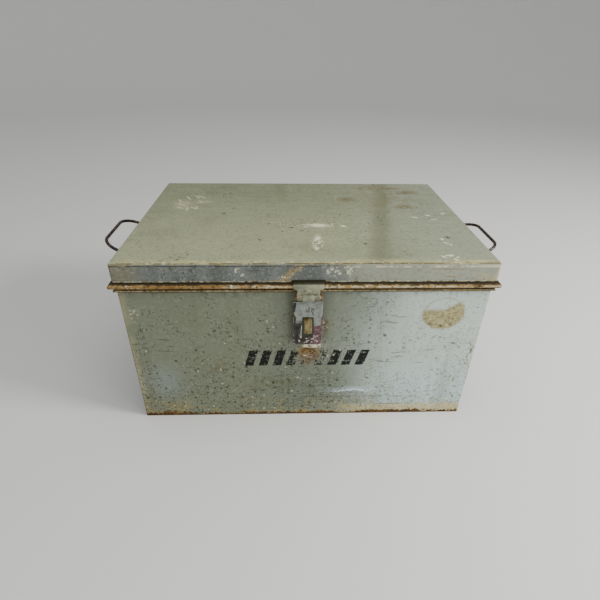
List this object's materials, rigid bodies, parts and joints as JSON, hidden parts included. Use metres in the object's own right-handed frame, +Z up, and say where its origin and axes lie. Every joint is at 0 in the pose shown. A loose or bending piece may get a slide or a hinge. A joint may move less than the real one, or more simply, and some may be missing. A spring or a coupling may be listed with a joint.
{
  "type": "steel storage trunk",
  "caption": "Lidded steel trunk with a rear-hinged drop-on lid, a rolled rim, a swinging hasp over a padlock staple and a rod bail handle on each end.",
  "frame": {"origin": "middle of the flat bottom face, where the trunk rests", "axes": "+X to the trunk's right as seen from the hasp side, +Y to its back, +Z up"},
  "size_m": [0.746, 0.4456, 0.326],
  "materials": {
    "body_paint": "worn satin grey-green paint",
    "lid_paint": "worn satin grey-green paint",
    "rim_paint": "worn paint, rusted along the edges",
    "hasp_paint": "chipped light grey paint over dark steel",
    "bare_steel": "worn bare steel with brown oxide",
    "black_rod": "black painted rod",
    "hinge_paint": "worn satin grey-green paint"
  },
  "bodies": {
    "trunk": {"front_panel": "body_paint", "back_panel": "body_paint", "left_end_panel": "body_paint", "right_end_panel": "body_paint", "bottom_panel": "body_paint", "rim_moulding": "rim_paint", "staple": "bare_steel", "staple_backing_plate": "bare_steel", "hinge_body_leaf_left": "hinge_paint", "hinge_body_leaf_right": "hinge_paint", "hinge_pin_left": "bare_steel", "hinge_pin_right": "bare_steel", "hinge_body_rivets": "hinge_paint", "handle_plate_left": "hinge_paint", "handle_plate_right": "hinge_paint", "handle_rivets_left": "hinge_paint", "handle_rivets_right": "hinge_paint"},
    "lid": {"lid_pan": "lid_paint", "hinge_lid_leaf_left": "hinge_paint", "hinge_lid_leaf_right": "hinge_paint", "hinge_lid_rivets": "hinge_paint", "hasp_strap": "hasp_paint", "hasp_pin": "bare_steel"},
    "hasp": {"hasp_tongue": "hasp_paint"},
    "left_bail": {"handle_left": "black_rod"},
    "right_bail": {"handle_right": "black_rod"}
  },
  "joints": [
    {"name": "lid_hinge", "type": "hinge", "parent": "trunk", "child": "lid", "pos_m": [0, 0.213, 0.288], "axis": [-1, 0, 0], "range_deg": [0, 110]},
    {"name": "hasp_hinge", "type": "hinge", "parent": "lid", "child": "hasp", "pos_m": [0.0025, -0.216, 0.27], "axis": [-1, 0, 0], "range_deg": [0, 180]},
    {"name": "left_handle_pivot", "type": "hinge", "parent": "trunk", "child": "left_bail", "pos_m": [-0.30605, 0, 0.268], "axis": [0, 1, 0], "range_deg": [-113.5, 41.5]},
    {"name": "right_handle_pivot", "type": "hinge", "parent": "trunk", "child": "right_bail", "pos_m": [0.30605, 0, 0.268], "axis": [0, -1, 0], "range_deg": [-105.5, 49.5]}
  ]
}
